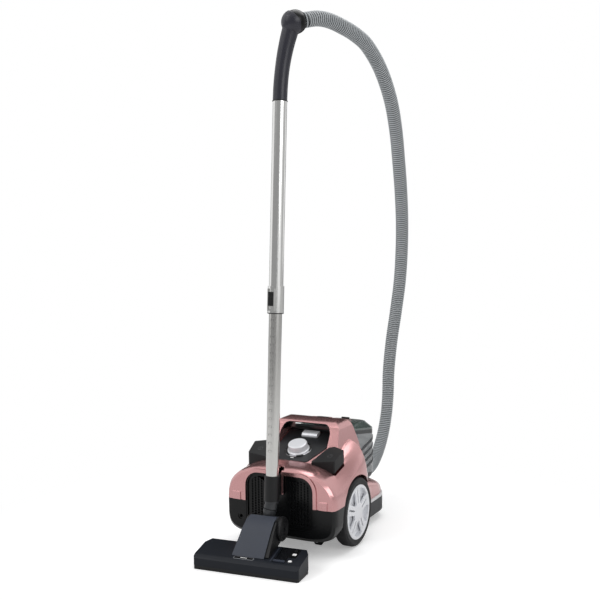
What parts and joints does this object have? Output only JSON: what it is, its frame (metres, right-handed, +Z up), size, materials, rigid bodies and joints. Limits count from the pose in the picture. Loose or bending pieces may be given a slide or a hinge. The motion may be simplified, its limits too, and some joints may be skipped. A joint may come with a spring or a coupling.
{
  "type": "canister vacuum cleaner",
  "caption": "Bagless canister vacuum cleaner on two large wheels and a caster, with a telescopic wand and floor nozzle parked upright behind it and a free hose.",
  "frame": {"origin": "middle of the footprint at floor level, measured without the hose and its cuffs", "axes": "+X to the canister's right seen from its rear, +Y from its rear to its nose, +Z up"},
  "size_m": [0.3225, 0.9034, 1.3499],
  "materials": {
    "rose_shell": "rose metallic lacquer on moulded plastic",
    "black_plastic": "fine texture, black",
    "charcoal_plastic": "fine texture, charcoal",
    "dark_gloss": "smooth, dark",
    "navy_plastic": "satin, very dark navy",
    "grey_rubber": "soft bumper rubber",
    "pale_trim": "satin pale grey",
    "silver_plastic": "silver lacquer",
    "tyre_rubber": "matt rubber",
    "chrome_tube": "polished tube",
    "spring_steel": "bright wire and pins",
    "smoky_clear": "clear smoky plastic",
    "filter_fleece": "pleated fleece",
    "board_green": "printed board",
    "motor_grey": "moulded motor case",
    "bristle": "nylon bristles",
    "hose_grey": "ribbed flexible hose"
  },
  "bodies": {
    "canister": {"base_tray": "black_plastic", "upper_shell": "rose_shell", "handle_grip": "black_plastic", "control_panel": "black_plastic", "knob_ring": "chrome_tube", "exhaust_grille": "black_plastic", "exhaust_filter": "filter_fleece", "motor_housing": "motor_grey", "motor_mounts": "grey_rubber", "control_board": "board_green", "axle_pins": "spring_steel", "front_bumper": "grey_rubber", "nose_trim": "pale_trim", "inlet_socket": "black_plastic", "motor_filter": "filter_fleece", "cable_outlet": "black_plastic", "power_pedal_spring": "spring_steel", "rewind_pedal_spring": "spring_steel", "hose": "hose_grey"},
    "power_pedal": {"power_pedal": "black_plastic"},
    "rewind_pedal": {"rewind_pedal": "black_plastic"},
    "power_knob": {"power_knob": "silver_plastic"},
    "bin_button": {"bin_button": "silver_plastic"},
    "left_wheel": {"left_tyre": "tyre_rubber", "left_hub": "silver_plastic"},
    "right_wheel": {"right_tyre": "tyre_rubber", "right_hub": "silver_plastic"},
    "left_roller": {"left_roller": "charcoal_plastic"},
    "right_roller": {"right_roller": "charcoal_plastic"},
    "caster_fork": {"caster_fork": "charcoal_plastic", "caster_axle": "spring_steel"},
    "caster_wheel": {"caster_wheel": "tyre_rubber"},
    "cord_reel": {"cord_reel": "charcoal_plastic"},
    "motor_rotor": {"motor_rotor": "spring_steel"},
    "dust_bin": {"dust_bin": "smoky_clear", "bin_rim": "dark_gloss", "cyclone_cone": "charcoal_plastic", "mesh_shroud": "spring_steel"},
    "bin_lid": {"bin_lid": "smoky_clear", "bin_handle": "rose_shell", "bin_handle_inlay": "black_plastic"},
    "hose_cuff": {"hose_cuff": "black_plastic"},
    "wand_upper": {"upper_tube": "chrome_tube", "collar": "black_plastic", "wand_handle": "black_plastic", "handle_ball": "black_plastic"},
    "hose_end_cuff": {"hose_end_cuff": "charcoal_plastic"},
    "lock_slider": {"lock_slider": "charcoal_plastic"},
    "wand_lower": {"lower_tube": "chrome_tube", "wand_sleeve": "black_plastic"},
    "neck": {"neck_elbow": "charcoal_plastic"},
    "nozzle": {"neck_housing": "black_plastic", "neck_hood": "navy_plastic", "nozzle_cover": "navy_plastic", "nozzle_sole": "black_plastic"},
    "nozzle_wheels": {"nozzle_wheels": "charcoal_plastic"},
    "rocker_pedal": {"rocker_pedal": "charcoal_plastic"},
    "brush_strip": {"brush_strip": "bristle"}
  },
  "joints": [
    {"name": "wand_lift", "type": "slide", "parent": "canister", "child": "wand_upper", "axis": [0, 0, 1], "range_m": [0, 0.06], "deforming": ["hose"]},
    {"name": "telescope", "type": "slide", "parent": "wand_upper", "child": "wand_lower", "axis": [0.0099, 0.0525, 0.9986], "range_m": [0, 0.38]},
    {"name": "neck_swivel", "type": "hinge", "parent": "wand_lower", "child": "neck", "pos_m": [0.00551, -0.20462, 0.15178], "axis": [0.0099, 0.0525, 0.9986], "range_deg": [-28, 18]},
    {"name": "nozzle_tilt", "type": "hinge", "parent": "neck", "child": "nozzle", "pos_m": [-0.003, -0.2153, 0.087], "axis": [0.9954, 0.0958, 0], "range_deg": [0, 40]},
    {"name": "nozzle_wheels_roll", "type": "hinge", "parent": "nozzle", "child": "nozzle_wheels", "pos_m": [-0.01345, -0.24243, 0.0083], "axis": [0.9954, 0.0958, 0], "continuous": true},
    {"name": "rocker_tilt", "type": "hinge", "parent": "nozzle", "child": "rocker_pedal", "pos_m": [0.06906, -0.26462, 0.029], "axis": [-0.9954, -0.0958, 0], "range_deg": [0, 4]},
    {"name": "brush_slide", "type": "slide", "parent": "nozzle", "child": "brush_strip", "axis": [0, 0, 1], "range_m": [0, 0.0022]},
    {"name": "lock_slide", "type": "slide", "parent": "wand_upper", "child": "lock_slider", "axis": [-0.0099, -0.0525, -0.9986], "range_m": [0, 0.006], "stiffness_N_per_m": 300, "springref_m": -0.005},
    {"name": "hose_end_swivel", "type": "hinge", "parent": "wand_upper", "child": "hose_end_cuff", "pos_m": [0.04634, -0.13716, 1.31638], "axis": [0.7007, 0.6769, 0.2255], "continuous": true},
    {"name": "hose_cuff_swivel", "type": "hinge", "parent": "canister", "child": "hose_cuff", "pos_m": [0, 0.3337, 0.084], "axis": [0, 1, 0], "continuous": true},
    {"name": "power_knob_turn", "type": "hinge", "parent": "canister", "child": "power_knob", "pos_m": [0, -0.0463, 0.24287], "axis": [0, -0.3256, 0.9455], "range_deg": [0, 270]},
    {"name": "bin_button_press", "type": "slide", "parent": "canister", "child": "bin_button", "axis": [0, 0.3256, -0.9455], "range_m": [0, 0.003], "stiffness_N_per_m": 800, "springref_m": -0.003},
    {"name": "power_pedal_press", "type": "hinge", "parent": "canister", "child": "power_pedal", "pos_m": [0.095, -0.0353, 0.236], "axis": [1, 0, 0], "range_deg": [0, 4.5], "stiffness_Nm_per_rad": 3, "springref_deg": -14.32, "deforming": ["power_pedal_spring"]},
    {"name": "rewind_pedal_press", "type": "hinge", "parent": "canister", "child": "rewind_pedal", "pos_m": [-0.095, -0.0353, 0.236], "axis": [1, 0, 0], "range_deg": [0, 4.5], "stiffness_Nm_per_rad": 3, "springref_deg": -14.32, "deforming": ["rewind_pedal_spring"]},
    {"name": "left_wheel_roll", "type": "hinge", "parent": "canister", "child": "left_wheel", "pos_m": [-0.15, -0.0113, 0.0885], "axis": [1, 0, 0], "continuous": true},
    {"name": "right_wheel_roll", "type": "hinge", "parent": "canister", "child": "right_wheel", "pos_m": [0.15, -0.0113, 0.0885], "axis": [1, 0, 0], "continuous": true},
    {"name": "left_roller_roll", "type": "hinge", "parent": "canister", "child": "left_roller", "pos_m": [-0.06, -0.0533, 0.015], "axis": [1, 0, 0], "continuous": true},
    {"name": "right_roller_roll", "type": "hinge", "parent": "canister", "child": "right_roller", "pos_m": [0.06, -0.0533, 0.015], "axis": [1, 0, 0], "continuous": true},
    {"name": "caster_swivel", "type": "hinge", "parent": "canister", "child": "caster_fork", "pos_m": [0, 0.2247, 0.05], "axis": [0, 0, 1], "continuous": true},
    {"name": "caster_roll", "type": "hinge", "parent": "caster_fork", "child": "caster_wheel", "pos_m": [0, 0.2107, 0.016], "axis": [1, 0, 0], "continuous": true},
    {"name": "cord_reel_turn", "type": "hinge", "parent": "canister", "child": "cord_reel", "pos_m": [-0.075, -0.0213, 0.116], "axis": [1, 0, 0], "continuous": true},
    {"name": "motor_spin", "type": "hinge", "parent": "canister", "child": "motor_rotor", "pos_m": [0.028, -0.0113, 0.118], "axis": [0, 1, 0], "continuous": true},
    {"name": "bin_slide", "type": "slide", "parent": "canister", "child": "dust_bin", "axis": [0, 0.866, 0.5], "range_m": [0, 0.12]},
    {"name": "bin_lid_open", "type": "hinge", "parent": "dust_bin", "child": "bin_lid", "pos_m": [0, 0.3157, 0.23591], "axis": [-1, 0, 0], "range_deg": [0, 75]}
  ],
  "couplings": [
    {"joint": "brush_slide", "follows": "rocker_tilt", "m_per_rad": 0.0314}
  ]
}
